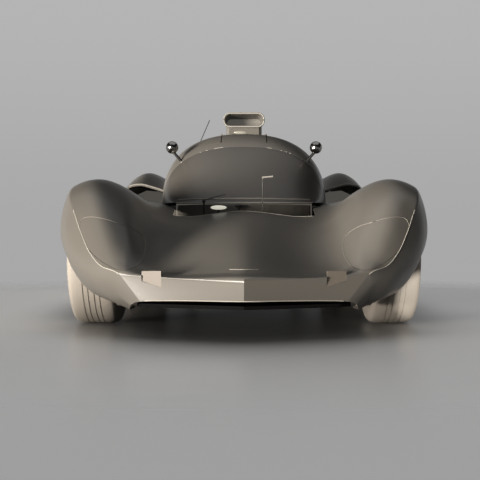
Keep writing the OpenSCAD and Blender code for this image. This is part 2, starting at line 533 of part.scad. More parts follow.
// ---- Wheels and steering ----
hub_bore = 20;
function tyre_side(r, b, k) = [
  [rim_r, k * (b - 20.4)], [rim_r + 14, k * (b - 20.4)], [rim_r + 17, k * (b - 9)], [rim_r + 50, k * b], [r - 34, k * (b - 3)],
  [r - 18, k * (b - 12)], [r - 8, k * (b - 24)], [r - 2, k * (b - 42)], [r, k * (b - 62)]
];
function tyre_inside(r, b, k) = [[r - 16, k * (b - 50)], [r - 36, k * (b - 22)], [rim_r + 50, k * (b - 14)], [rim_r + 24, k * (b - 24)], [rim_r, k * (b - 36)]];
function tyre_profile(r, w) = let (b = w / 2) concat(tyre_side(r, b, -1), reversed(tyre_side(r, b, 1)), reversed(tyre_inside(r, b, 1)), tyre_inside(r, b, -1));
module tyre(r, w) color([0.5, 0.47, 0.42]) rotate([0, 90, 0]) rotate_extrude($fn = 96) polygon(tyre_profile(r, w));
disc_in = -46;
module rim(w) color([0.6, 0.6, 0.6]) rotate([0, 90, 0]) {
  b = w / 2 - 20;
  difference() {
    rotate_extrude($fn = 96) polygon([
      [hub_bore + 0.05, disc_in], [70, disc_in], [140, disc_in], [140, disc_in + 12], [62, disc_in + 12], [62, 20], [150, 30], [172, 12],
      [172, -b - 5], [rim_r + 12, -b - 5], [rim_r + 12, -b], [rim_r - 0.3, -b],
      [rim_r - 0.3, b], [rim_r + 12, b], [rim_r + 12, b + 5], [168, b + 5], [160, 44], [148, 40], [62, 34], [48, 38], [40, 64], [0, 64], [0, 58], [hub_bore + 0.05, 58]
    ]);
    for (i = [0:7]) rotate([0, 0, 45 * i]) translate([108, 0, 10]) cylinder(r = 25, h = 40, $fn = 48);
  }
  translate([0, 0, 62]) cylinder(r = 34, h = 14, $fn = 6);
}
module wheel_at(x, y, z, k) at(k * x, y, z) mirror([k < 0 ? 1 : 0, 0, 0]) children();
module tyre_front_left() wheel_at(front_wheel_x, 0, front_hub_z, 1) tyre(front_tyre_r, front_tyre_w);
module tyre_front_right() wheel_at(front_wheel_x, 0, front_hub_z, -1) tyre(front_tyre_r, front_tyre_w);
module tyre_rear_left() wheel_at(rear_wheel_x, rear_axle, rear_hub_z, 1) tyre(rear_tyre_r, rear_tyre_w);
module tyre_rear_right() wheel_at(rear_wheel_x, rear_axle, rear_hub_z, -1) tyre(rear_tyre_r, rear_tyre_w);
module rim_front_left() wheel_at(front_wheel_x, 0, front_hub_z, 1) rim(front_tyre_w);
module rim_front_right() wheel_at(front_wheel_x, 0, front_hub_z, -1) rim(front_tyre_w);
module rim_rear_left() wheel_at(rear_wheel_x, rear_axle, rear_hub_z, 1) rim(rear_tyre_w);
module rim_rear_right() wheel_at(rear_wheel_x, rear_axle, rear_hub_z, -1) rim(rear_tyre_w);
kingpin_x = 595;
arm_y = rack_y;
pin_gap = 0.5;
module knuckle() color([0.4, 0.4, 0.4]) {
  at(kingpin_x, 0, 200) cylinder(r = 9, h = 240);
  at(kingpin_x, 0, 215) cylinder(r = 20, h = 205);
  block([kingpin_x, -40, 255], [kingpin_x + 24, 40, 375]);
  bar([kingpin_x + 15, 0, front_hub_z], [front_wheel_x + 56, 0, front_hub_z], hub_bore);
  bar([kingpin_x, 0, rack_z + 8], [kingpin_x, arm_y, rack_z + 8], 9);
  at(kingpin_x, arm_y, rack_z - 16) cylinder(r = 6, h = 30);
}
module front_knuckle_left() knuckle();
module front_knuckle_right() mirror([1, 0, 0]) knuckle();
// The rack slides in the tub's sides; each end has an eye round the knuckle's pin.
module steering_rack() color([0.4, 0.4, 0.4]) difference() {
  union() {
    bar([-kingpin_x + 17 + seat_gap, rack_y, rack_z - 8], [kingpin_x - 17 - seat_gap, rack_y, rack_z - 8], rack_r);
    both() at(kingpin_x, arm_y + 1.8, rack_z - 13) cylinder(r = 17, h = 10);
  }
  both() at(kingpin_x, arm_y + 1.8, rack_z - 30) cylinder(r = 10.5, h = 60);
}
module front_suspension() color([0.25, 0.25, 0.25]) both() difference() {
  union() {
    for (s = [-1, 1]) {
      bar([400, s * 190, 172], [kingpin_x, s * 6, 204], 9);
      bar([400, s * 160, s < 0 ? 380 : 400], [kingpin_x, s * 6, 430], 9);
    }
    at(kingpin_x, 0, 195) cylinder(r = 20, h = 15);
    at(kingpin_x, 0, 425) cylinder(r = 18, h = 12);
  }
  block([350, -300, 100], [410 + seat_gap, 300, 500]);
  at(kingpin_x, 0, 150) cylinder(r = 9 + pin_gap, h = 400);
  at(kingpin_x, 0, 210) cylinder(r = 26, h = 215);
}
module rear_uprights() color([0.4, 0.4, 0.4]) both() {
  block([590, rear_axle - 50, 220], [625, rear_axle + 50, 460]);
  bar([570, rear_axle, rear_hub_z], [rear_wheel_x + 56, rear_axle, rear_hub_z], hub_bore);
}
module rear_suspension() color([0.25, 0.25, 0.25]) both() difference() {
  for (s = [-1, 1]) {
    bar([370, rear_axle + s * 215, s < 0 ? 500 : 150], [600, rear_axle + s * 35, s < 0 ? 440 : 240], 11);
    bar([370, rear_axle + s * 215, s < 0 ? 150 : 500], [600, rear_axle + s * 35, s < 0 ? 240 : 440], 11);
  }
  block([300, rear_axle - 400, 0], [400 + seat_gap, rear_axle + 400, 700]);
  block([590 - seat_gap, rear_axle - 400, 0], [700, rear_axle + 400, 700]);
}
module drive_shafts() color([0.4, 0.4, 0.4]) both() difference() {
  bar([100, rear_axle, 345], [600, rear_axle, rear_hub_z], 18);
  block([0, rear_axle - 100, 0], [130 + seat_gap, rear_axle + 100, 600]);
  block([570 - seat_gap, rear_axle - 100, 0], [700, rear_axle + 100, 600]);
}

front_body();
headlamp_covers();
nose_lamps();
sill_panels();
rear_body();
fastback();
spoiler();
windscreen();
cabin_frame();
door_left();
door_right();
door_glass_left();
door_glass_right();
roof_scoop();
mirrors();
antenna();
wiper();
cowl_mirror();
tub();
rear_frame();
engine_block();
gearbox();
seats();
dashboard();
steering_wheel();
tail_panel();
tail_lamps();
exhausts();
intake_ducts();
tyre_front_left();
tyre_front_right();
tyre_rear_left();
tyre_rear_right();
rim_front_left();
rim_front_right();
rim_rear_left();
rim_rear_right();
front_knuckle_left();
front_knuckle_right();
steering_rack();
front_suspension();
rear_uprights();
rear_suspension();
drive_shafts();
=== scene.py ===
# Looks for the closed sports prototype: finish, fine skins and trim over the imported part, then light, floor and camera.
import json
import math

import bmesh
import bpy
import numpy as np
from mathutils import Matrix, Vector


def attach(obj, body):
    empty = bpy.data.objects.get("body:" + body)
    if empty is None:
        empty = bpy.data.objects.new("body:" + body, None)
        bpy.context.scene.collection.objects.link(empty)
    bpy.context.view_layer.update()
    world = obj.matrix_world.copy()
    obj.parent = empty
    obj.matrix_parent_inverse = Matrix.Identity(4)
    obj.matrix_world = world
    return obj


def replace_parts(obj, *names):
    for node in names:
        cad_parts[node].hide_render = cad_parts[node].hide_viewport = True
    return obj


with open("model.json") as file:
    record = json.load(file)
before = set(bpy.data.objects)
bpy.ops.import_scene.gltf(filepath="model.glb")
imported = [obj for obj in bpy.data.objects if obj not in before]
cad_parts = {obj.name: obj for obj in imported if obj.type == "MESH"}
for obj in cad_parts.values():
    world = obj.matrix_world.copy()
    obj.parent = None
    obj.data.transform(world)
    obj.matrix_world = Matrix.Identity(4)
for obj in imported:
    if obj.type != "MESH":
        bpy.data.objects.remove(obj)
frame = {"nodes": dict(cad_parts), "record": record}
nodes = frame["nodes"]

# Lengths are in millimetres from the front axle unless a line says otherwise; to_frame brings them to the part's frame
FY = -1130.0  # front axle line in the part's frame
MM = 0.001
WHEELBASE = 2310
FRONT_R, REAR_R = 315, 340  # tyres
SKIN_T, DOOR_T, ROOF_T, GLASS_T = 8, 26, 4, 5
HOOD_END = 350  # the cockpit opening starts here
SCREEN_FRONT, ROOF_FRONT = 424, 872
DOOR_FRONT, DOOR_BACK = 940, 1425
REAR_FRONT, REAR_BACK = 1430, 3210
SIDES = ((1, "left"), (-1, "right"))
FAR = 1000  # a cutter that ends here ends outside the car

# Half sections of the skin, as in the solid: knot; y at centre, valley, crease and sill; z at centre; x and z of
# valley, inner slope, crown and shoulder crease; half width of the crease; x and z of widest, tuck and sill.
FRONT = [
    [-1030, -932, -782, -752, -700, 157, 337, 151, 363, 150, 387, 148, 408, 146, 4, 429, 141, 446, 131, 450, 124],
    [-950, -950, -748, -728, -660, 230, 448, 249, 464, 250, 479, 251, 493, 252, 5, 506, 209, 492, 157, 457, 118],
    [-860, -860, -665, -668, -590, 262, 432, 284, 479, 305, 527, 307, 571, 283, 5, 596, 237, 567, 167, 466, 104],
    [-745, -745, -565, -605, -490, 300, 421, 320, 483, 366, 563, 386, 627, 336, 5, 675, 285, 632, 182, 473, 98],
    [-610, -610, -450, -525, -420, 342, 418, 361, 499, 443, 600, 477, 675, 412, 5, 733, 345, 676, 196, 476, 95],
    [-470, -470, -335, -440, -360, 382, 420, 402, 515, 508, 632, 549, 715, 489, 6, 768, 418, 692, 215, 476, 95],
    [-320, -320, -225, -325, -268, 422, 420, 438, 527, 562, 659, 608, 759, 566, 7, 805, 452, 736, 232, 560, 100],
    [-160, -160, -110, -180, -150, 458, 419, 468, 530, 595, 681, 651, 782, 617, 12, 837, 483, 794, 268, 700, 110],
    [10, 10, 10, 10, 10, 487, 416, 492, 527, 612, 692, 673, 802, 640, 20, 857, 504, 832, 288, 780, 115],
    [170, 170, 170, 170, 170, 511, 418, 512, 527, 612, 692, 674, 805, 642, 28, 858, 502, 844, 292, 800, 118],
    [350, 350, 350, 350, 350, 534, 426, 533, 528, 604, 688, 664, 804, 632, 35, 858, 487, 848, 292, 806, 120],
    [600, 600, 600, 600, 600, 566, 443, 566, 530, 598, 680, 640, 804, 606, 40, 856, 460, 849, 290, 808, 120],
    [900, 900, 900, 900, 900, 594, 460, 594, 542, 604, 670, 620, 804, 586, 42, 854, 445, 849, 282, 808, 120],
    [1200, 1200, 1200, 1200, 1200, 606, 478, 606, 545, 610, 665, 617, 806, 582, 42, 855, 436, 849, 280, 808, 120],
    [1500, 1500, 1500, 1500, 1500, 611, 468, 611, 545, 616, 667, 620, 806, 585, 42, 856, 438, 849, 280, 808, 120],
    [1850, 1850, 1850, 1850, 1850, 611, 455, 612, 540, 616, 670, 618, 808, 590, 42, 857, 445, 850, 280, 808, 120],
]
REAR = [
    [1430, 1430, 1430, 1430, 1430, 672, 468, 682, 545, 706, 655, 729, 744, 706, 28, 855, 437, 849, 280, 808, 120],
    [1650, 1650, 1650, 1650, 1650, 684, 460, 700, 552, 758, 660, 784, 748, 745, 32, 856, 447, 850, 280, 808, 120],
    [1850, 1850, 1850, 1850, 1850, 692, 448, 706, 552, 794, 662, 822, 752, 776, 34, 858, 456, 850, 280, 806, 120],
    [2100, 2100, 2100, 2100, 2100, 695, 428, 708, 550, 812, 660, 846, 752, 798, 36, 860, 466, 850, 285, 804, 122],
    [2310, 2310, 2310, 2310, 2310, 696, 402, 706, 540, 812, 655, 850, 751, 800, 38, 860, 466, 850, 300, 802, 130],
    [2550, 2550, 2550, 2550, 2550, 699, 360, 703, 520, 800, 646, 842, 746, 794, 38, 857, 462, 848, 312, 800, 160],
    [2800, 2800, 2800, 2800, 2800, 707, 310, 706, 500, 786, 636, 830, 738, 783, 38, 850, 455, 840, 332, 794, 205],
    [3020, 3020, 3020, 3020, 3020, 722, 280, 718, 486, 780, 624, 824, 726, 776, 38, 840, 448, 829, 350, 784, 240],
    [3210, 3210, 3210, 3210, 3210, 744, 262, 738, 474, 782, 612, 822, 714, 773, 36, 828, 442, 816, 362, 772, 262],
]
# The cabin bubble: s, top y, top z, foot y, half width at the foot, foot z, squareness.
CANOPY = [
    [420, 420, 577, 600, 360, 586, 2.0],
    [480, 480, 624, 665, 388, 588, 2.1],
    [580, 580, 702, 745, 418, 589, 2.2],
    [710, 710, 803, 820, 440, 590, 2.3],
    [870, 870, 909, 885, 452, 591, 2.4],
    [960, 960, 957, 960, 464, 595, 2.4],
    [1080, 1080, 1000, 1080, 474, 601, 2.4],
    [1200, 1200, 1013, 1200, 478, 606, 2.4],
    [1340, 1340, 1009, 1340, 475, 609, 2.4],
    [1480, 1480, 993, 1480, 468, 638, 2.4],
    [1700, 1700, 956, 1700, 452, 680, 2.35],
    [2000, 2000, 902, 2000, 410, 694, 2.3],
    [2300, 2300, 850, 2300, 345, 696, 2.2],
    [2600, 2600, 804, 2600, 265, 698, 2.1],
    [2850, 2850, 773, 2850, 185, 707, 2.0],
    [3060, 3060, 755, 3060, 105, 724, 2.0],
]
# Outlines of a lamp cover and of a lamp pocket seen from the front, as x and z.
LAMP = [
    [677, 478], [655, 483], [590, 477], [536, 461], [490, 446], [456, 424], [430, 394], [415, 352],
    [415, 314], [432, 281], [465, 268], [492, 269], [560, 294], [626, 341], [676, 408], [691, 449],
]
POCKET = [[400, 266], [321, 268], [319, 203], [399, 226]]
LAMP_DEPTH = (-1000, -335)
POCKET_DEPTH = (-1000, -715)
ROW_POINTS = 9
CREASE_POINT = 4  # the first of the two points beside the shoulder crease
CREASE_HARD, CREASE_SOFT = -200, 60  # the crease is sharp ahead of the first y and smooth behind the second
NOSE_ROUND = 10  # length of the rounded step between the lip and the hood


# ---- Surfaces ----
def hermite(k, v, x, hard=None):
    """The smooth curve through values v at uneven knots k, at each x.

    hard = (i, share) straightens it up to knot i and from knot i + 1 on.
    """
    k = np.asarray(k, float)
    v = np.asarray(v, float).reshape(len(k), -1)
    x = np.atleast_1d(np.asarray(x, float))
    h = np.diff(k)
    d = np.diff(v, axis=0) / h[:, None]
    m = np.empty_like(v)
    m[0], m[-1] = d[0], d[-1]
    a, b = h[:-1, None], h[1:, None]
    m[1:-1] = ((v[1:-1] - v[:-2]) * b / a + (v[2:] - v[1:-1]) * a / b) / (a + b)
    if hard:
        j, share = hard
        m[j] += (d[j - 1] * 1.5 - m[j - 1] * 0.5 - m[j]) * share
        m[j + 1] += (d[j + 1] * 1.5 - m[j + 2] * 0.5 - m[j + 1]) * share
    i = np.clip(np.searchsorted(k, x, side="right") - 1, 0, len(k) - 2)
    t = ((x - k[i]) / h[i])[:, None]
    u = 1 - t
    w = h[i][:, None]
    return v[i] * (1 + 2 * t) * u * u + v[i + 1] * t * t * (3 - 2 * t) + m[i] * w * t * u * u - m[i + 1] * w * t * t * u


def row_points(row):
    """Centre, valley, inner slope, crown, both sides of the crease, widest, tuck and sill of a half section."""
    (_, y_mid, y_valley, y_crease, y_sill, z_mid, x_valley, z_valley, x_slope, z_slope, x_crown, z_crown,
     x_crease, z_crease, half_width, x_wide, z_wide, x_tuck, z_tuck, x_sill, z_sill) = row

    def fan(x):
        return y_valley + (y_crease - y_valley) * (x - x_valley) / (x_crease - x_valley)

    crown = np.array([x_crown, fan(x_crown), z_crown])
    crease = np.array([x_crease, y_crease, z_crease], float)
    widest = np.array([x_wide, y_crease + (y_sill - y_crease) * 0.3, z_wide])
    return np.array([
        [0, y_mid, z_mid], [x_valley, y_valley, z_valley], [x_slope, fan(x_slope), z_slope], crown,
        crease + (crown - crease) * half_width / np.linalg.norm(crown - crease),
        crease + (widest - crease) * half_width / np.linalg.norm(widest - crease),
        widest, [x_tuck, y_crease + (y_sill - y_crease) * 0.65, z_tuck], [x_sill, y_sill, z_sill],
    ])


front_points = [row_points(r) for r in FRONT]
step_back = front_points[0] - front_points[1]
nose_row = front_points[1] + step_back * NOSE_ROUND / np.linalg.norm(step_back, axis=1)[:, None]
FRONT_SKIN = ([FRONT[0][0], FRONT[1][0] - NOSE_ROUND] + [r[0] for r in FRONT[1:]],
              np.array([front_points[0], nose_row] + front_points[1:]))
REAR_SKIN = ([r[0] for r in REAR], np.array([row_points(r) for r in REAR]))


def half_lines(skin, stations, cols):
    """Points of a skin at each station and column; column i is the i-th point of a half section."""
    cols = np.asarray(cols, float)
    i = np.minimum(np.floor(cols).astype(int), ROW_POINTS - 2)
    sections = hermite(skin[0], skin[1].reshape(len(skin[0]), -1), stations).reshape(-1, ROW_POINTS, 3)
    out = []
    for s, p in zip(stations, sections):
        k = np.concatenate([[0], np.cumsum(np.linalg.norm(np.diff(p, axis=0), axis=1))])
        share = min(1, max(0, (CREASE_SOFT - s) / (CREASE_SOFT - CREASE_HARD)))
        out.append(hermite(k, p, k[i] + (k[i + 1] - k[i]) * (cols - i), (CREASE_POINT, share)))
    return np.array(out)


def canopy_rows(stations):
    return hermite([c[0] for c in CANOPY], np.array(CANOPY, float)[:, 1:], stations)


def canopy_lines(stations, angles):
    """Points of the cabin bubble at each station, at angles from the top down to the foot."""
    top_y, top_z, foot_y, width, foot_z, squareness = canopy_rows(stations).T[:, :, None]
    a = np.radians(np.asarray(angles, float))
    q = 2 / squareness
    x = width * np.sin(a)[None] ** q
    z = foot_z + (top_z - foot_z) * np.maximum(np.cos(a), 0)[None] ** q
    y = top_y + (foot_y - top_y) * (x / width) ** 2
    return np.stack([x, y, z], 2)


def full(g):
    """A half grid of points with its mirror image."""
    return np.concatenate([g[:, 1:][:, ::-1] * [-1, 1, 1], g], 1)


def mirrored(g, k):
    """A grid for side k: 1 is left, -1 is right."""
    return g if k > 0 else (g * [-1, 1, 1])[:, ::-1]


def steps(*runs):
    """Values of several even runs, each (first, last, count)."""
    return np.concatenate([np.linspace(*run) for run in runs])


def spread(marks, counts):
    """Values through marks, with counts[i] equal steps between neighbours."""
    out = []
    for a, b, n in zip(marks[:-1], marks[1:], counts):
        out += list(np.linspace(a, b, n, endpoint=False))
    return np.array(out + [marks[-1]])


def to_frame(p):
    p = np.asarray(p, float)
    return (p + [0, FY, 0]) * MM


# ---- Meshes ----
def mesh_object(name, verts, faces, mat, smooth=30):
    me = bpy.data.meshes.new(name)
    me.from_pydata([tuple(v) for v in verts], [], [tuple(int(i) for i in f) for f in faces])
    me.update()
    o = bpy.data.objects.new(name, me)
    bpy.context.scene.collection.objects.link(o)
    if mat:
        me.materials.append(MATS[mat])
    if smooth:
        shade(me, smooth)
    return o


def shade(me, angle=30):
    me.polygons.foreach_set("use_smooth", [True] * len(me.polygons))
    me.set_sharp_from_angle(angle=math.radians(angle))


def shell_mesh(g, t, skip=0.0):
    """Closed shell t thick below a grid of points, as vertices and quads."""
    n, m = g.shape[:2]
    u = np.concatenate([g[1:2] - g[0:1], g[2:] - g[:-2], g[-1:] - g[-2:-1]], 0)
    v = np.concatenate([g[:, 1:2] - g[:, 0:1], g[:, 2:] - g[:, :-2], g[:, -1:] - g[:, -2:-1]], 1)
    c = np.cross(u, v)
    c /= np.linalg.norm(c, axis=2)[:, :, None]
    verts = np.concatenate([(g + c * skip).reshape(-1, 3), (g + c * (skip + t)).reshape(-1, 3)])
    k = n * m
    a = (np.arange(n - 1)[:, None] * m + np.arange(m - 1)[None]).reshape(-1)
    top = np.stack([a, a + m, a + m + 1, a + 1], 1)
    low = np.stack([a + k, a + k + 1, a + k + m + 1, a + k + m], 1)
    j = np.arange(m - 1)
    e = (n - 1) * m + j
    i = np.arange(n - 1) * m
    f = i + m - 1
    sides = [np.stack([j, j + 1, k + j + 1, k + j], 1), np.stack([e, k + e, k + e + 1, e + 1], 1),
             np.stack([i, k + i, k + i + m, i + m], 1), np.stack([f, f + m, k + f + m, k + f], 1)]
    return verts, np.concatenate([top, low] + sides)


def prism(points, axis, a0, a1):
    """A closed outline pulled along an axis: 'x' takes (y, z), 'y' takes (x, z), 'z' takes (x, y)."""
    n = len(points)
    order = {"x": (2, 0, 1), "y": (0, 2, 1), "z": (0, 1, 2)}[axis]
    verts = to_frame([[(*p, w)[i] for i in order] for w in (a0, a1) for p in points])
    sides = [[i, i + n, (i + 1) % n + n, (i + 1) % n] for i in range(n)]
    o = mesh_object("cutter", verts, [list(range(n)), list(range(2 * n - 1, n - 1, -1))] + sides, None, 0)
    bm = bmesh.new()
    bm.from_mesh(o.data)
    bmesh.ops.recalc_face_normals(bm, faces=bm.faces)
    bmesh.ops.triangulate(bm, faces=[f for f in bm.faces if len(f.verts) > 4])
    bm.to_mesh(o.data)
    bm.free()
    return o


def carved(o, cutters, keep=()):
    """o with every cutter taken away, then with only what lies in each of keep left."""
    for c, op in [(c, "DIFFERENCE") for c in cutters] + [(c, "INTERSECT") for c in keep]:
        m = o.modifiers.new("cut", "BOOLEAN")
        m.object = c
        m.operation = op
        m.solver = "MANIFOLD"
    bpy.context.view_layer.update()
    me = bpy.data.meshes.new_from_object(o.evaluated_get(bpy.context.evaluated_depsgraph_get()))
    mats = list(o.data.materials)
    o.modifiers.clear()
    o.data = me
    me.materials.clear()
    for m in mats:
        me.materials.append(m)
    shade(me)
    for c in list(cutters) + list(keep):
        bpy.data.objects.remove(c)
    return o


def skin(name, g, t, mat, skip=0.0):
    verts, faces = shell_mesh(g, t, skip)
    return mesh_object(name, to_frame(verts), faces, mat)


def dress(o, node=None, body="chassis"):
    """o rides on a body and, where a node is named, stands in its place."""
    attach(o, body)
    if node:
        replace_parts(o, node)
    return o


def side_prism(points, k, near, far):
    """An outline in (y, z), pulled from x = near to x = far on side k."""
    return prism(points, "x", *sorted((k * near, k * far)))


def front_prism(points, k, depth):
    """An outline in (x, z), pulled over a depth in y, on side k."""
    return prism(points if k > 0 else flipped(points), "y", *depth)


def flipped(points):
    return [(-x, z) for x, z in points][::-1]


def plan_box(k, x, y, z):
    """A box over these ranges, on side k."""
    return prism([(k * x[0], y[0]), (k * x[1], y[0]), (k * x[1], y[1]), (k * x[0], y[1])], "z", *z)


def ring_angles(n):
    return np.linspace(0, 2 * math.pi, n, endpoint=False)


def oval(y, z, ry, rz, top=1e9, n=96):
    return [(y + ry * math.cos(a), min(z + rz * math.sin(a), top)) for a in ring_angles(n)]


def round_rect(w, h, r, n=8):
    """A rectangle with rounded corners about the origin."""
    out = []
    for i, (sx, sz) in enumerate(((1, 1), (-1, 1), (-1, -1), (1, -1))):
        for a in np.radians(np.linspace(i * 90, i * 90 + 90, n)):
            out.append((sx * (w / 2 - r) + r * math.cos(a), sz * (h / 2 - r) + r * math.sin(a)))
    return out


def inset(points, d):
    p = np.asarray(points, float)
    u = np.roll(p, -1, 0) - np.roll(p, 1, 0)
    return [tuple(q) for q in p + d * np.stack([-u[:, 1], u[:, 0]], 1) / np.linalg.norm(u, axis=1)[:, None]]


def foot(s):
    """Half width and y of the bubble's foot at each station."""
    rows = canopy_rows(s)
    return np.stack([rows[:, 3], rows[:, 2]], 1)


def closed_plan(half):
    """An outline in (x, y) from its left half."""
    return half + [(-x, y) for x, y in half[::-1] if x > 0]


def rounded(points, per=6):
    """A closed smooth curve through the points."""
    p = np.asarray(points, float)
    n = len(p)
    ring = np.concatenate([p[-3:], p, p[:3]])
    k = np.concatenate([[0], np.cumsum(np.linalg.norm(np.diff(ring, axis=0), axis=1))])
    x = np.concatenate([np.linspace(k[i + 3], k[i + 4], per, endpoint=False) for i in range(n)])
    return [tuple(q) for q in hermite(k, ring, x)]


def tube(name, points, r, mat, body="chassis", closed=False, seg=8):
    """A round bead along points given in the part's frame, in metres."""
    p = np.asarray(points, float)
    n = len(p)
    if closed:
        t = np.roll(p, -1, 0) - np.roll(p, 1, 0)
    else:
        t = np.concatenate([p[1:2] - p[0:1], p[2:] - p[:-2], p[-1:] - p[-2:-1]])
    t /= np.linalg.norm(t, axis=1)[:, None]
    up = np.array([0, 0, 1.0]) if abs(t[:, 2]).mean() < 0.8 else np.array([0, 1.0, 0])
    if np.abs(t @ up).max() > 0.999:
        up = np.eye(3)[np.abs(t).max(axis=0).argmin()]
    a = np.cross(t, up)
    a /= np.linalg.norm(a, axis=1)[:, None]
    b = np.cross(a, t)
    w = 2 * math.pi * np.arange(seg) / seg
    ring = p[:, None] + r * (np.cos(w)[None, :, None] * a[:, None] + np.sin(w)[None, :, None] * b[:, None])
    verts = ring.reshape(-1, 3)
    faces = []
    for i in range(n if closed else n - 1):
        for j in range(seg):
            i2, j2 = (i + 1) % n, (j + 1) % seg
            faces.append((i * seg + j, i2 * seg + j, i2 * seg + j2, i * seg + j2))
    if not closed:
        faces += [tuple(range(seg)), tuple(range(n * seg - 1, (n - 1) * seg - 1, -1))]
    o = mesh_object(name, verts, faces, mat, 50)
    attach(o, body)
    return o


def bead(name, points, r, mat, body="chassis", closed=False, seg=8):
    """A tube along points from the front axle, with its radius in millimetres."""
    return tube(name, to_frame(points), r * MM, mat, body, closed, seg)


# ---- Materials ----
GRAIN_SCALE = 260
GRAIN_HEIGHT = 0.001
FINISHES = {
    "body": dict(color=(0.102, 0.095, 0.084), rough=0.34, coat=0.15, coat_rough=0.3, spec=0.25),
    "screen": dict(color=(0.055, 0.051, 0.046), rough=0.35, coat=0.1, coat_rough=0.3, spec=0.25),
    # A lighter copy of the body colour, for beads of painted highlight along edges and the crease
    "edge": dict(color=(0.42, 0.395, 0.35), rough=0.35, coat=0.3, coat_rough=0.2),
    # A lighter copy of the body colour, for painted highlights on lines, lips and the mirror head
    "pale_painted_highlight": dict(color=(0.24, 0.228, 0.204), rough=0.4, spec=0.3),
    # Pale and glowing though it is no lamp: a painted highlight
    "cap_glowing_highlight": dict(color=(0.70, 0.68, 0.58), rough=0.3, spec=0.4, glow=0.7),
    # A lighter copy of the body colour: a painted highlight
    "dome_painted_highlight": dict(color=(0.24, 0.23, 0.20), rough=0.3, spec=0.4),
    # A lighter copy of the body colour: painted highlight on the windscreen's bottom frame
    "frame_painted_highlight": dict(color=(0.22, 0.205, 0.185), rough=0.4, spec=0.3),
    # A lighter copy of the body colour: painted highlight along the lamp covers' upper edge
    "seam": dict(color=(0.20, 0.187, 0.165), rough=0.4, spec=0.3),
    "floor_tub": dict(color=(0.006, 0.006, 0.006), rough=0.8, spec=0.0),
    # Glows though it is no lamp: painted light in the slot under the windscreen and behind the gauze
    "scuttle_painted_glow": dict(color=(0.12, 0.113, 0.10), rough=0.6, spec=0.2, glow=0.6),
    "dark": dict(color=(0.015, 0.015, 0.015), rough=0.6),
    "frame": dict(color=(0.02, 0.02, 0.02), rough=0.7, spec=0.2),
    "metal": dict(color=(0.35, 0.35, 0.34), rough=0.45, metal=0.8),
    "steel": dict(color=(0.4, 0.4, 0.4), rough=0.3, metal=1.0),
    "rim": dict(color=(0.42, 0.40, 0.36), rough=0.4, metal=0.6),
    "tyre": dict(color=(0.25, 0.225, 0.195), rough=0.75, grain=0.15),
    "chrome": dict(color=(0.30, 0.29, 0.28), rough=0.18, metal=1.0),
    "lamp": dict(color=(0.135, 0.117, 0.098), rough=0.5, spec=0.2),
    "red": dict(color=(0.22, 0.015, 0.01), rough=0.2, coat=1.0),
    "trim": dict(color=(0.03, 0.03, 0.03), rough=0.9),
    "exhaust": dict(color=(0.3, 0.28, 0.25), rough=0.35, metal=1.0),
}


def material(name, color, rough=0.5, metal=0.0, coat=0.0, coat_rough=0.1, spec=0.5, grain=0.0, glow=0.0):
    m = bpy.data.materials.new(name)
    m.use_nodes = True
    tree = m.node_tree
    shader = tree.nodes["Principled BSDF"]
    for socket, value in (
        ("Base Color", (*color, 1)), ("Roughness", rough), ("Metallic", metal), ("Coat Weight", coat),
        ("Coat Roughness", coat_rough), ("Specular IOR Level", spec),
        ("Emission Color", (*color, 1)), ("Emission Strength", glow),
    ):
        shader.inputs[socket].default_value = value
    if grain:
        noise = tree.nodes.new("ShaderNodeTexNoise")
        noise.inputs["Scale"].default_value = GRAIN_SCALE
        bump = tree.nodes.new("ShaderNodeBump")
        bump.inputs["Strength"].default_value = grain
        bump.inputs["Distance"].default_value = GRAIN_HEIGHT
        tree.links.new(noise.outputs["Fac"], bump.inputs["Height"])
        tree.links.new(bump.outputs["Normal"], shader.inputs["Normal"])
    return m


MATS = {name: material(name, **finish) for name, finish in FINISHES.items()}
slots = {s["node"]: s["material_slot"] for s in frame["record"]["subparts"]}
for name, o in nodes.items():
    o.data.materials.clear()
    o.data.materials.append(MATS["floor_tub" if name == "tub" else slots[name]])
    shade(o.data)

# ---- Fine skins in place of the faceted ones ----
FRONT_ARCH_R, FRONT_ARCH_H = 365, 318
FRONT_ARCH_STEPS = ((742, FAR, 700), (440, 743, 420))  # from x, to x and top z
REAR_ARCH_R, REAR_ARCH_H = 392, 380
COVER_GAP = 1.2
half_cols = spread([0, 1, 2, 3, 4, 5, 6, 7, 8], [14, 7, 8, 7, 5, 11, 9, 5])
front_s = steps((-1030, -962, 12), (-960, -950, 6), (-946, -860, 12), (-852, -300, 70),
                (-290, HOOD_END, 64), (362, 935, 40))
hood_corner = [(0, HOOD_END), (342, HOOD_END), (358, 356), (364, 372)]
cockpit = closed_plan(hood_corner + [(x + 0.3, y) for x, y in foot(np.linspace(440, 1400, 40))])
below_arch = [(-FRONT_ARCH_R, 0), (FRONT_ARCH_R, 0), (FRONT_ARCH_R, FRONT_R), (-FRONT_ARCH_R, FRONT_R)]
cutters = [prism(cockpit, "z", 400, 800)]
for k in (-1, 1):
    for near, far, top in FRONT_ARCH_STEPS:
        cutters.append(side_prism(oval(0, FRONT_R, FRONT_ARCH_R, FRONT_ARCH_H, top), k, near, far))
    cutters.append(side_prism(below_arch, k, 600, FAR))
lamp_fine = rounded(LAMP)
for k in (1, -1):
    cutters.append(front_prism(lamp_fine, k, LAMP_DEPTH))
    cutters.append(front_prism(POCKET, k, POCKET_DEPTH))
front_grid = full(half_lines(FRONT_SKIN, front_s, half_cols))
front = dress(carved(skin("skin_front", front_grid, SKIN_T, "body"), cutters), "front_body")

cover_s = np.linspace(-960, -380, 90)
cover_cols = spread([0.8, 1, 2, 3, 4, 5, 5.5], [3, 12, 14, 10, 3, 5])
covers = []
for i, k in enumerate((1, -1)):
    cover = skin("skin_lamp_%d" % i, mirrored(half_lines(FRONT_SKIN, cover_s, cover_cols), k), SKIN_T, "body")
    outline = front_prism(inset(lamp_fine, COVER_GAP), k, LAMP_DEPTH)
    covers.append(dress(carved(cover, [], [outline]), "headlamp_covers"))

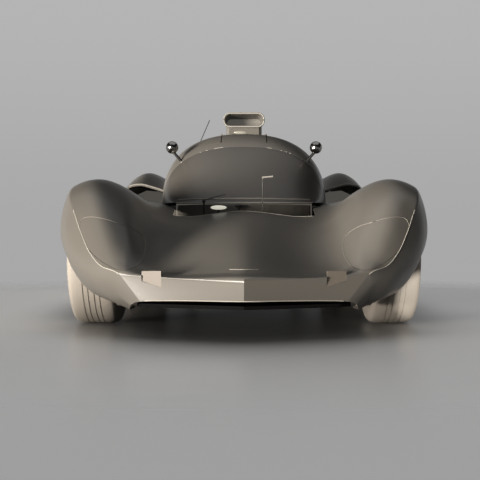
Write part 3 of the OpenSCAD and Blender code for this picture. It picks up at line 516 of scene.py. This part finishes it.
rear_s = steps((REAR_FRONT, 1850, 34), (1862, 2800, 74), (2814, REAR_BACK, 30))
fast_s = np.concatenate([[REAR_FRONT + 1], np.linspace(1450, 3060, 120)])
fast_plan = closed_plan([(x + 0.6, y) for x, y in foot(np.concatenate([[REAR_FRONT - 5], fast_s]))])
cutters = [prism(fast_plan, "z", 560, 900)]
for k in (-1, 1):
    cutters.append(side_prism(oval(WHEELBASE, REAR_R, REAR_ARCH_R, REAR_ARCH_H), k, 700, FAR))
rear_grid = full(half_lines(REAR_SKIN, rear_s, half_cols))
dress(carved(skin("skin_rear", rear_grid, SKIN_T, "body"), cutters), "rear_body")

THROAT_Y, THROAT_RX, THROAT_RY, THROAT_SQUARENESS = 1920, 85, 120, 0.6


def blunt(v):
    return math.copysign(abs(v) ** THROAT_SQUARENESS, v)


throat = [(THROAT_RX * blunt(math.cos(a)), THROAT_Y + THROAT_RY * blunt(math.sin(a))) for a in ring_angles(48)]
fast_grid = full(canopy_lines(fast_s, steps((0, 60, 26), (62, 90, 16))))
dress(carved(skin("skin_fastback", fast_grid, SKIN_T, "body"), [prism(throat, "z", 800, 1100)]), "fastback")

screen_angles = steps((0, 20, 14), (22, 70, 26), (71, 90, 16))
screen_grid = full(canopy_lines(np.linspace(SCREEN_FRONT, 871.1, 60), screen_angles))
screen = dress(skin("skin_screen", screen_grid, GLASS_T, "screen"), "windscreen")

# The roof frame keeps its solid; a fine skin lies over its outside
roof_s = steps((ROOF_FRONT, 935, 8), (950, 1429.7, 40))
roof = skin("skin_roof", full(canopy_lines(roof_s, screen_angles)), ROOF_T, "body", -0.6)
dress(carved(roof, [plan_box(k, (127.5, 700), (935, 1600), (500, 1100)) for k in (1, -1)]))

WINDOW = [
    (996, 655), (996, 700), (1056, 852), (1086, 882), (1336, 882), (1370, 852), (1382, 660), (1362, 638), (1014, 638),
]
WINDOW_MIDDLE, WINDOW_HALF = (1188, 760), (180, 115)
GLASS_GAP = 0.3
HINGE_X, HINGE_Z, HINGE_R, HINGE_HALF = 130, 1004, 5, 17
door_s = np.linspace(DOOR_FRONT, DOOR_BACK, 56)
door_angles = steps((8, 70, 34), (71, 90, 14))
door_cols = spread([1.4, 2, 3, 4, 5, 6, 6.5], [6, 8, 7, 5, 11, 5])


def window(k, gap, near=250, far=620):
    """The opening of a side window as a prism, brought in by about the gap."""
    outline = [[m + (v - m) * (1 - gap / h) for v, m, h in zip(p, WINDOW_MIDDLE, WINDOW_HALF)] for p in WINDOW]
    return side_prism(outline, k, near, far)


for k, side in SIDES:
    g = np.concatenate([canopy_lines(door_s, door_angles), half_lines(FRONT_SKIN, door_s, door_cols)], 1)
    cutters = [plan_box(k, (-200, HINGE_X + 2.5), (800, 1600), (900, 1100)),
               plan_box(k, (500, FAR), (800, 1600), (0, 400)), window(k, 0)]
    door = dress(carved(skin("skin_door_" + side, mirrored(g, k), DOOR_T, "body"), cutters), None, "door_" + side)
    g = canopy_lines(door_s, np.linspace(22, 90, 40))
    glass = skin("skin_glass_" + side, mirrored(g, k), GLASS_T, "screen", 6)
    dress(carved(glass, [], [window(k, GLASS_GAP)]), "door_glass_" + side, "door_" + side)
    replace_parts(door, "door_" + side)
    for y in (1150, 1330):
        ends = [(k * HINGE_X, y + d, HINGE_Z) for d in (-HINGE_HALF, HINGE_HALF)]
        bead("barrel_%s_%d" % (side, y), ends, HINGE_R, "steel", "door_" + side, seg=12)

sill_s = np.linspace(935.3, 1429.7, 24)
sill_cols = spread([6, 7, 8], [12, 8])
for k in (1, -1):
    sill = skin("skin_sill_%d" % k, mirrored(half_lines(FRONT_SKIN, sill_s, sill_cols), k), SKIN_T, "body")
    above = prism([(800, 395), (1600, 395), (1600, 700), (800, 700)], "x", -FAR, FAR)
    dress(carved(sill, [above]), "sill_panels")


# ---- Trim ----
def solid(name, points, axis, a0, a1, mat):
    o = prism(points, axis, a0, a1)
    o.name = name
    o.data.materials.append(MATS[mat])
    return dress(o)


def egg(name, at, radii, mat):
    bm = bmesh.new()
    bmesh.ops.create_uvsphere(bm, u_segments=32, v_segments=16, radius=1)
    verts = to_frame(np.array([v.co for v in bm.verts]) * radii + at)
    faces = [[v.index for v in f.verts] for f in bm.faces]
    bm.free()
    return dress(mesh_object(name, verts, faces, mat))


def strip(name, top, low, mat):
    """A sheet between two lines of points."""
    n = len(top)
    faces = [(i, i + n, i + n + 1, i + 1) for i in range(n - 1)]
    return dress(mesh_object(name, to_frame(list(top) + list(low)), faces, mat))


def cast(objects, x, z, lift):
    """Where a level line going back at x and z first meets one of the skins, in the part's frame."""
    best = None
    for o in objects:
        hit, at, _, _ = o.ray_cast(Vector((x * MM, -3.0, z * MM)), Vector((0, 1, 0)))
        if hit and (best is None or at.y < best.y):
            best = at
    return None if best is None else best + Vector((0, -lift * MM, 0))


def seam(name, outline, objects, r, mat, lift=0.5, seg=6):
    """A bead laid on the skins along an outline seen from the front."""
    points = [cast(objects, x, z, lift) for x, z in outline]
    tube(name, [p for p in points if p], r * MM, mat, seg=seg)


SLOT_Y, SLOT_FLOOR = 400, 510  # what stands in the slot between the hood and the windscreen
bpy.context.view_layer.update()
# A bead of painted highlight along the upper edge of the lamp covers; below, the cover ends at the crease
upper = lamp_fine[-6:] + lamp_fine[:54]
for i, k in enumerate((1, -1)):
    seam("lamp_seam_%d" % i, [(k * x, z) for x, z in upper], [front, covers[i]], 1.1, "seam")
# A bead of painted highlight along the crease from the top of each fender down to the nose
for k in (-1, 1):
    ridge = half_lines(FRONT_SKIN, np.linspace(-948, -420, 60), [CREASE_POINT + 0.5])[:, 0] * [k, 1, 1]
    bead("crease_%d" % k, ridge + [0, -0.5, 0], 1.6, "edge", seg=6)
# Thin line of painted highlight at the tip of the hood, with a small dark wedge in its middle
seam("nose_line", [(x, 273.6) for x in np.linspace(-56, 54, 12)], [front], 1.6, "pale_painted_highlight", 1)
solid("nose_wedge", [(-9, 268.5), (9, 268.5), (0, 262)], "y", -852, -838, "dark")
# A bead of painted highlight along the edge of the lower lip
bead("lip_edge", full(half_lines(FRONT_SKIN, [-1029.5], np.linspace(0, 3, 16)))[0] + [0, -1, 0], 1.6, "edge", seg=6)
# Bottom frame of the windscreen and its foot as beads of painted highlight, and dashes of painted highlight along its
# upper edge
seam("screen_frame", [(x, 601) for x in np.linspace(-352, 352, 61)], [screen], 5, "frame_painted_highlight", -1, 8)
foot_line = full(canopy_lines([SCREEN_FRONT], np.linspace(0, 90, 20)))[0]
bead("screen_foot", foot_line + [0, -2, 0], 2.2, "edge", seg=6)
crest = canopy_lines([ROOF_FRONT + 1], np.linspace(0, 60, 120))[0].T
DASHES = ((-1, 118, 168), (-1, 204, 214), (-1, 239, 247), (1, 129, 157), (1, 205, 213), (1, 233, 241), (1, 253, 261))
for k, x0, x1 in DASHES:
    dash = [(k * x, np.interp(x, crest[0], crest[1]), np.interp(x, crest[0], crest[2])) for x in np.linspace(x0, x1, 5)]
    bead("screen_top_%d_%d" % (k, x0), dash, 2.8, "pale_painted_highlight", seg=6)
# Scuttle under the windscreen, glowing as painted light; a bead of painted highlight along the edge of the hood; in the
# slot between them, a glowing egg as a painted highlight and a dark egg as a painted reflection, each on a dark stem
scuttle_top = full(canopy_lines([SCREEN_FRONT], np.linspace(0, 90, 24)))[0]
strip("scuttle_painted_glow", scuttle_top + [0, 16, -4], scuttle_top * [1, 1, 0] + [0, 16, SLOT_FLOOR + 2], "scuttle_painted_glow")
bead("hood_edge", full(half_lines(FRONT_SKIN, [HOOD_END - 1], np.linspace(0, 0.8, 14)))[0], 1.8, "edge", seg=6)
egg("cowl_glowing_highlight", (-130, SLOT_Y, 553), (41, 12, 11), "cap_glowing_highlight")
bead("cowl_highlight_stem", [(-130, SLOT_Y + 2, SLOT_FLOOR), (-130, SLOT_Y + 2, 550)], 6, "dark")
# A dark egg beside the glowing one: a painted reflection
egg("cowl_dark_reflection", (-28, SLOT_Y, 562), (22, 12, 9.5), "dark")
bead("cowl_dark_reflection_stem", [(-28, SLOT_Y + 2, SLOT_FLOOR), (-28, SLOT_Y + 2, 560)], 6, "dark")
# Wiper and the small mirror on the cowl, whose head takes a lighter copy of the body colour as a painted highlight
ARM_R, SHAFT_R = 2.2, 5
arm = [(-211, 393, 586), (-203, 391, 591), (-150, 396, 606), (-96, 402, 620)]
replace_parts(bead("wiper_arm", arm, ARM_R, "dark"), "wiper")
shaft = [(-205, 398, SLOT_FLOOR - 1), (-205, 398, 586)]
pivot = [(-215, 396, 584), (-196, 396, 586)]
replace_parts(bead("wiper_shaft", shaft, SHAFT_R, "trim", seg=10), "wiper")
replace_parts(bead("wiper_pivot", pivot, SHAFT_R, "trim", seg=10), "wiper")
post = [(95, 405, SLOT_FLOOR - 1), (95, 405, 704)]
glass = [(92, 703), (148, 709), (148, 717), (92, 711)]
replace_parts(bead("cowl_mirror_stem", post, ARM_R, "screen"), "cowl_mirror")
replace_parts(solid("cowl_mirror_head", glass, "y", 402, 408, "pale_painted_highlight"), "cowl_mirror")

# Rolled lip of the scoop as a bead of painted highlight, a dome of painted highlight on its foot, and the gauze inside,
# glowing as painted light
scoop_lip = [(x, 1701, 1164 + z) for x, z in round_rect(258, 86, 38)]
scoop_gauze = [(x, 1158 + z) for x, z in round_rect(222, 60, 28)]
bead("scoop_lip", scoop_lip, 4.8, "pale_painted_highlight", closed=True, seg=10)
egg("scoop_painted_highlight", (-24, 1724, 1085), (42, 8, 11), "dome_painted_highlight")
solid("scoop_gauze", scoop_gauze, "y", 1850, 1853, "scuttle_painted_glow")
# Rolled lips of the side intakes as beads of painted highlight, with gauze behind them glowing as painted light
GAUZE = [(495, 600), (720, 600), (720, 676), (640, 712), (560, 704), (495, 690)]
for k, side in SIDES:
    lip = half_lines(REAR_SKIN, [REAR_FRONT + 8], np.linspace(1.25, 3.9, 30))[0] * [k, 1, 1]
    bead("intake_lip_" + side, lip, 5.5, "pale_painted_highlight", seg=10)
    solid("intake_gauze_" + side, GAUZE if k > 0 else flipped(GAUZE), "y", 1806, 1809, "scuttle_painted_glow")
# Tail: bezels of the lamps and slats over the panel
LAMP_X, LAMP_Z, BEZEL_R = (560, 672), 600, 45
SLATS, SLAT_PITCH, SLAT_H, SLAT_X, LOWEST_SLAT = 11, 22, 4, 470, 500
for k in (1, -1):
    for x in LAMP_X:
        ring = [(k * x + BEZEL_R * math.cos(a), 3206, LAMP_Z + BEZEL_R * math.sin(a)) for a in ring_angles(48)]
        bead("bezel_%d" % (k * x), ring, 4, "chrome", closed=True, seg=10)
for i in range(SLATS):
    z = LOWEST_SLAT + SLAT_PITCH * i
    slat = [(-SLAT_X, z), (SLAT_X, z), (SLAT_X, z + SLAT_H), (-SLAT_X, z + SLAT_H)]
    solid("slat_%d" % i, slat, "y", 3181, 3190, "frame")

# Tyres with a rounded shoulder and four grooves round the tread
BEAD_R, WALL_R = 200, 250
GROOVE_HALF, GROOVE_FOOT_HALF, GROOVE_DEPTH = 2.2, 1.6, 3


def tyre(name, r, w, grooves, x, y, k):
    """A tyre of radius r and width w about (x, y), with grooves at these distances on both sides of its middle."""
    b = w / 2
    rim_side = [(BEAD_R, b - 20.4), (214, b - 20.4), (217, b - 9)]
    wall = [(WALL_R, b), (r - 34, b - 1), (r - 17, b - 7), (r - 7, b - 18), (r - 2, b - 36), (r, b - 58)]
    wall_k = np.concatenate([[0], np.cumsum([math.dist(p, q) for p, q in zip(wall, wall[1:])])])
    half = rim_side + [tuple(p) for p in hermite(wall_k, np.array(wall), np.linspace(0, wall_k[-1], 26))]
    for g in grooves[::-1]:
        half += [(r, g + GROOVE_HALF), (r - GROOVE_DEPTH, g + GROOVE_FOOT_HALF),
                 (r - GROOVE_DEPTH, g - GROOVE_FOOT_HALF), (r, g - GROOVE_HALF)]
    inner = [(r - 16, b - 50), (r - 36, b - 22), (WALL_R, b - 14), (224, b - 24), (BEAD_R, b - 36)]
    loop = [(p, -q) for p, q in half] + half[::-1] + inner[::-1] + [(p, -q) for p, q in inner]
    n, m = 120, len(loop)
    verts = [(x + k * q, y + p * math.cos(a), r + p * math.sin(a)) for a in ring_angles(n) for p, q in loop]
    faces = []
    for i in range(n):
        for j in range(m):
            f = (i * m + j, i * m + (j + 1) % m, (i + 1) % n * m + (j + 1) % m, (i + 1) % n * m + j)
            faces.append(f if k > 0 else f[::-1])
    dress(mesh_object("fine_" + name, to_frame(verts), faces, "tyre", 40), name, name.replace("tyre", "wheel"))


for k, side in SIDES:
    tyre("tyre_front_" + side, FRONT_R, 212, (13, 36), k * 675, 0, k)
    tyre("tyre_rear_" + side, REAR_R, 262, (18, 54), k * 690, WHEELBASE, k)

# ---- Floor, in metres ----
FADE_FROM, FADE_TO = 1.9, 4.2  # beyond, the floor gives way to the backdrop
SHADE_LENGTH = 2.3  # the shade under the car is this much longer than wide
SHADE = ((0.38, 0.08), (0.47, 0.42), (0.55, 0.92), (0.66, 0.99))
FLOOR_GLOW, FLOOR_GLOSS, FLOOR_ROUGH = 0.02, 0.13, 0.30
FLOOR_SIZE, FLOOR_Y = 160, 40


def add(tree, kind, **settings):
    node = tree.nodes.new("ShaderNode" + kind)
    for key, value in settings.items():
        setattr(node, key, value)
    return node


def set_ramp(node, blend, stops):
    """Grey stops of a colour ramp, each as place and value."""
    elements = node.color_ramp.elements
    node.color_ramp.interpolation = blend
    while len(elements) < len(stops):
        elements.new(0.5)
    for e, (at, v) in zip(elements, stops):
        e.position = at
        e.color = (v, v, v, 1)


floor_mat = material("floor", (1, 1, 1), FLOOR_ROUGH)
ft = floor_mat.node_tree
paint = ft.nodes["Principled BSDF"]
where = add(ft, "NewGeometry")
distance = add(ft, "VectorMath", operation="LENGTH")
ft.links.new(where.outputs["Position"], distance.inputs[0])
fade = add(ft, "MapRange", interpolation_type="SMOOTHSTEP")
for socket, value in (("From Min", FADE_FROM), ("From Max", FADE_TO), ("To Min", 1.0), ("To Max", 0.0)):
    fade.inputs[socket].default_value = value
ft.links.new(distance.outputs["Value"], fade.inputs["Value"])
ft.links.new(fade.outputs["Result"], paint.inputs["Alpha"])
# Ground shade: the floor darkens under the car, over an oval about its plan
plan = add(ft, "VectorMath", operation="MULTIPLY")
plan.inputs[1].default_value = (1.0, 1 / SHADE_LENGTH, 0.0)
ft.links.new(where.outputs["Position"], plan.inputs[0])
reach = add(ft, "VectorMath", operation="LENGTH")
ft.links.new(plan.outputs["Vector"], reach.inputs[0])
half = add(ft, "Math", operation="MULTIPLY")
half.inputs[1].default_value = 0.5
ft.links.new(reach.outputs["Value"], half.inputs[0])
shade_ramp = add(ft, "ValToRGB")
set_ramp(shade_ramp, "B_SPLINE", SHADE)
ft.links.new(half.outputs["Value"], shade_ramp.inputs["Fac"])
ft.links.new(shade_ramp.outputs["Color"], paint.inputs["Base Color"])
ft.links.new(shade_ramp.outputs["Color"], paint.inputs["Emission Color"])
paint.inputs["Emission Strength"].default_value = FLOOR_GLOW
gloss = add(ft, "Math", operation="MULTIPLY")
gloss.inputs[1].default_value = FLOOR_GLOSS
ft.links.new(shade_ramp.outputs["Color"], gloss.inputs[0])
ft.links.new(gloss.outputs["Value"], paint.inputs["Specular IOR Level"])
bpy.ops.mesh.primitive_plane_add(size=FLOOR_SIZE, location=(0, FLOOR_Y, 0))
floor = bpy.context.object
floor.name = "floor"
floor.data.materials.append(floor_mat)

# ---- World: a grey backdrop behind the car, and a soft wide light from its left and front ----
# Stops run from -1 to 1 of a direction's part along one axis, brought to 0 to 1
BACKDROP_Z = ((0.38, 0.345), (0.5, 0.395), (0.625, 0.46), (0.66, 0.08), (0.8, 0.01))
SIDE_LIGHT_X = ((0.0, 1.1), (0.25, 0.8), (0.5, 0.26), (0.75, 0.02))
BAND_Z = ((0.5, 0.38), (0.501, 0.015))
BAND_SHARE_Z = ((0.42, 1.0), (0.5, 0.0), (0.54, 0.0), (0.66, 1.0))
BACKDROP_SHARE_Y = ((0.46, 0.0), (0.60, 1.0))
MIX_A, MIX_B, MIX_COLOR = 6, 7, 2  # the colour sockets of a Mix node
world = bpy.data.worlds.new("world")
bpy.context.scene.world = world
world.use_nodes = True
wt = world.node_tree
bg = wt.nodes["Background"]
toward = add(wt, "SeparateXYZ")
wt.links.new(add(wt, "TexCoord").outputs["Generated"], toward.inputs[0])


def ramp(axis, stops):
    unit = add(wt, "MapRange")
    unit.inputs["From Min"].default_value = -1
    wt.links.new(toward.outputs[axis], unit.inputs["Value"])
    node = add(wt, "ValToRGB")
    set_ramp(node, "EASE", stops)
    wt.links.new(unit.outputs["Result"], node.inputs["Fac"])
    return node.outputs["Color"]


def mixed(share, a, b):
    node = add(wt, "Mix", data_type="RGBA")
    wt.links.new(share, node.inputs["Factor"])
    wt.links.new(a, node.inputs[MIX_A])
    wt.links.new(b, node.inputs[MIX_B])
    return node.outputs[MIX_COLOR]


ahead = mixed(ramp("Z", BAND_SHARE_Z), ramp("X", SIDE_LIGHT_X), ramp("Z", BAND_Z))
around = mixed(ramp("Y", BACKDROP_SHARE_Y), ahead, ramp("Z", BACKDROP_Z))
wt.links.new(around, bg.inputs["Color"])
bg.inputs["Strength"].default_value = 1.0


# ---- Lights and camera, in metres ----
def light(name, kind, power, color, direction, at=(0, 0, 0), **settings):
    data = bpy.data.lights.new(name, kind)
    data.energy = power
    data.color = color
    for key, value in settings.items():
        setattr(data, key, value)
    o = bpy.data.objects.new(name, data)
    bpy.context.scene.collection.objects.link(o)
    o.location = at
    o.rotation_euler = Vector(direction).to_track_quat("-Z", "Y").to_euler()


FILL_AT, FILL_TO = Vector((0.98, -4.6, 0.10)), Vector((0.80, -1.42, 0.13))
light("key", "SUN", 11.0, (1.0, 0.93, 0.84), (0.72, 0.68, 0.03), angle=math.radians(18))
light("top", "AREA", 165, (1, 1, 1), (0, 0, -1), (0, 0, 7.0), size=9.0)
light("tyre_fill", "SPOT", 900, (1.0, 0.95, 0.88), FILL_TO - FILL_AT, FILL_AT,
      shadow_soft_size=0.0, spot_size=math.radians(5), spot_blend=0.6)

PHOTO_WIDTH, CAR_LEFT_OF_CENTRE = 480, 4  # in pixels of the photograph
CAMERA_AHEAD, CAMERA_HEIGHT = 4.5, 0.387  # ahead of the front axle, above the floor
LENS, SENSOR = 71.89, 36
cam = bpy.data.cameras.new("camera")
cam.lens = LENS
cam.sensor_width = SENSOR
cam.shift_x = -CAR_LEFT_OF_CENTRE / PHOTO_WIDTH
camera = bpy.data.objects.new("camera", cam)
bpy.context.scene.collection.objects.link(camera)
camera.location = (0, FY * MM - CAMERA_AHEAD, CAMERA_HEIGHT)
camera.rotation_euler = (math.radians(90), 0, 0)
bpy.context.scene.camera = camera
bpy.context.scene.view_settings.view_transform = "Standard"
